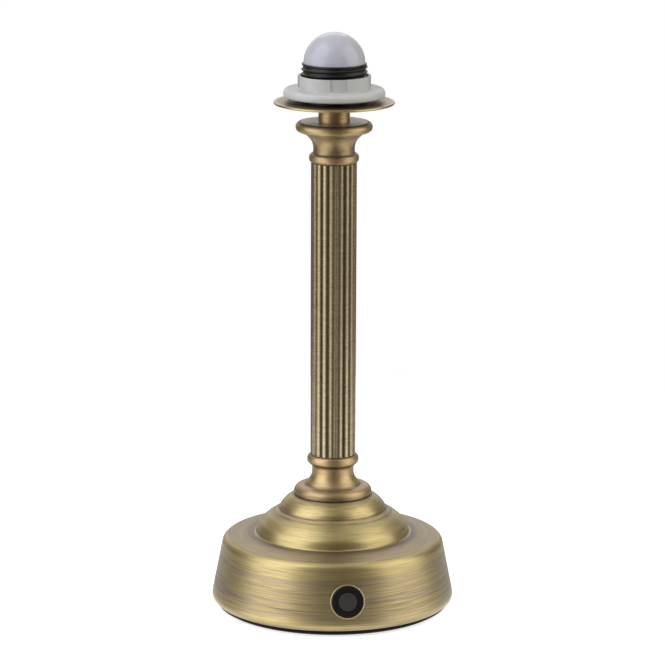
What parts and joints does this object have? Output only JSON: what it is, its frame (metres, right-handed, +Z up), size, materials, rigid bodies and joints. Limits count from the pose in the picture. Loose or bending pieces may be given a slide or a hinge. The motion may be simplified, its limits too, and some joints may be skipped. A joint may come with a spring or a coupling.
{
  "type": "column table lamp",
  "caption": "Cordless table lamp base: weighted stepped foot with push-button, reeded column, turned capital, and a threaded light head with a ring that clamps a shade.",
  "frame": {"origin": "centre of the underside, on the surface the lamp stands on", "axes": "+Z up the column; the push-button faces -Y and the charging port +Y"},
  "size_m": [0.1462, 0.1465, 0.3506],
  "materials": {
    "black_rubber": "soft foamed rubber",
    "black_cover": "moulded, fine texture",
    "black_steel": "black oxide",
    "brushed_brass": "antique, brushed round",
    "cast_iron": "as cast, painted",
    "zinc_steel": "zinc plated",
    "satin_brass": "antique, satin turned",
    "reeded_brass": "antique, grooves left dark",
    "dark_brass": "antique, dark",
    "neck_brass": "antique, brushed round",
    "plate_brass": "antique, brushed round",
    "black_plastic": "moulded, satin",
    "bare_aluminium": "turned",
    "white_board": "white lacquered board",
    "led_phosphor": "cast over the chip",
    "opal_dome": "opal, moulded",
    "grey_ring": "moulded, fine texture",
    "switch_black": "moulded",
    "button_grey": "moulded",
    "spring_steel": "drawn wire",
    "tinned_metal": "tinned",
    "tray_plastic": "moulded",
    "cell_sleeve": "shrink sleeve",
    "green_board": "lacquered board",
    "board_parts": "moulded",
    "lead_sheath": "extruded sheath"
  },
  "bodies": {
    "lamp": {"anti_slip_ring": "black_rubber", "base_cover": "black_cover", "cover_screws": "black_steel", "base_shell": "brushed_brass", "ballast_plate": "cast_iron", "tie_rod": "zinc_steel", "tie_rod_nut_bottom": "zinc_steel", "tie_rod_washer": "zinc_steel", "spacer_tube": "zinc_steel", "shell_washer": "zinc_steel", "lower_collar": "satin_brass", "column_tube": "reeded_brass", "capital": "satin_brass", "capital_cap": "dark_brass", "neck_tube": "neck_brass", "shade_plate": "plate_brass", "lampholder": "black_plastic", "star_washer": "zinc_steel", "tie_rod_nut_top": "zinc_steel", "heat_sink": "bare_aluminium", "led_board": "white_board", "led_board_screws": "zinc_steel", "led_chips": "led_phosphor", "diffuser_dome": "opal_dome", "switch_housing": "switch_black", "switch_nut": "switch_black", "button_spring": "spring_steel", "contact_block": "switch_black", "switch_terminals": "tinned_metal", "charge_port_bezel": "switch_black", "charge_socket": "tinned_metal", "battery_tray": "tray_plastic", "battery_cell_left": "cell_sleeve", "battery_cell_right": "cell_sleeve", "cell_links": "tinned_metal", "cell_clamps": "tray_plastic", "control_board": "green_board", "board_parts": "board_parts", "board_screws": "zinc_steel", "led_leads": "lead_sheath", "switch_leads": "lead_sheath", "battery_leads": "lead_sheath", "charge_leads": "lead_sheath"},
    "button": {"push_button": "button_grey"},
    "ring": {"shade_ring": "grey_ring"}
  },
  "joints": [
    {"name": "button_press", "type": "slide", "parent": "lamp", "child": "button", "axis": [0, 0.9815, -0.1917], "range_m": [0, 0.0015], "stiffness_N_per_m": 400, "deforming": ["button_spring"]},
    {"name": "shade_ring_lift", "type": "slide", "parent": "lamp", "child": "ring", "axis": [0, 0, 1], "range_m": [0, 0.045]}
  ]
}
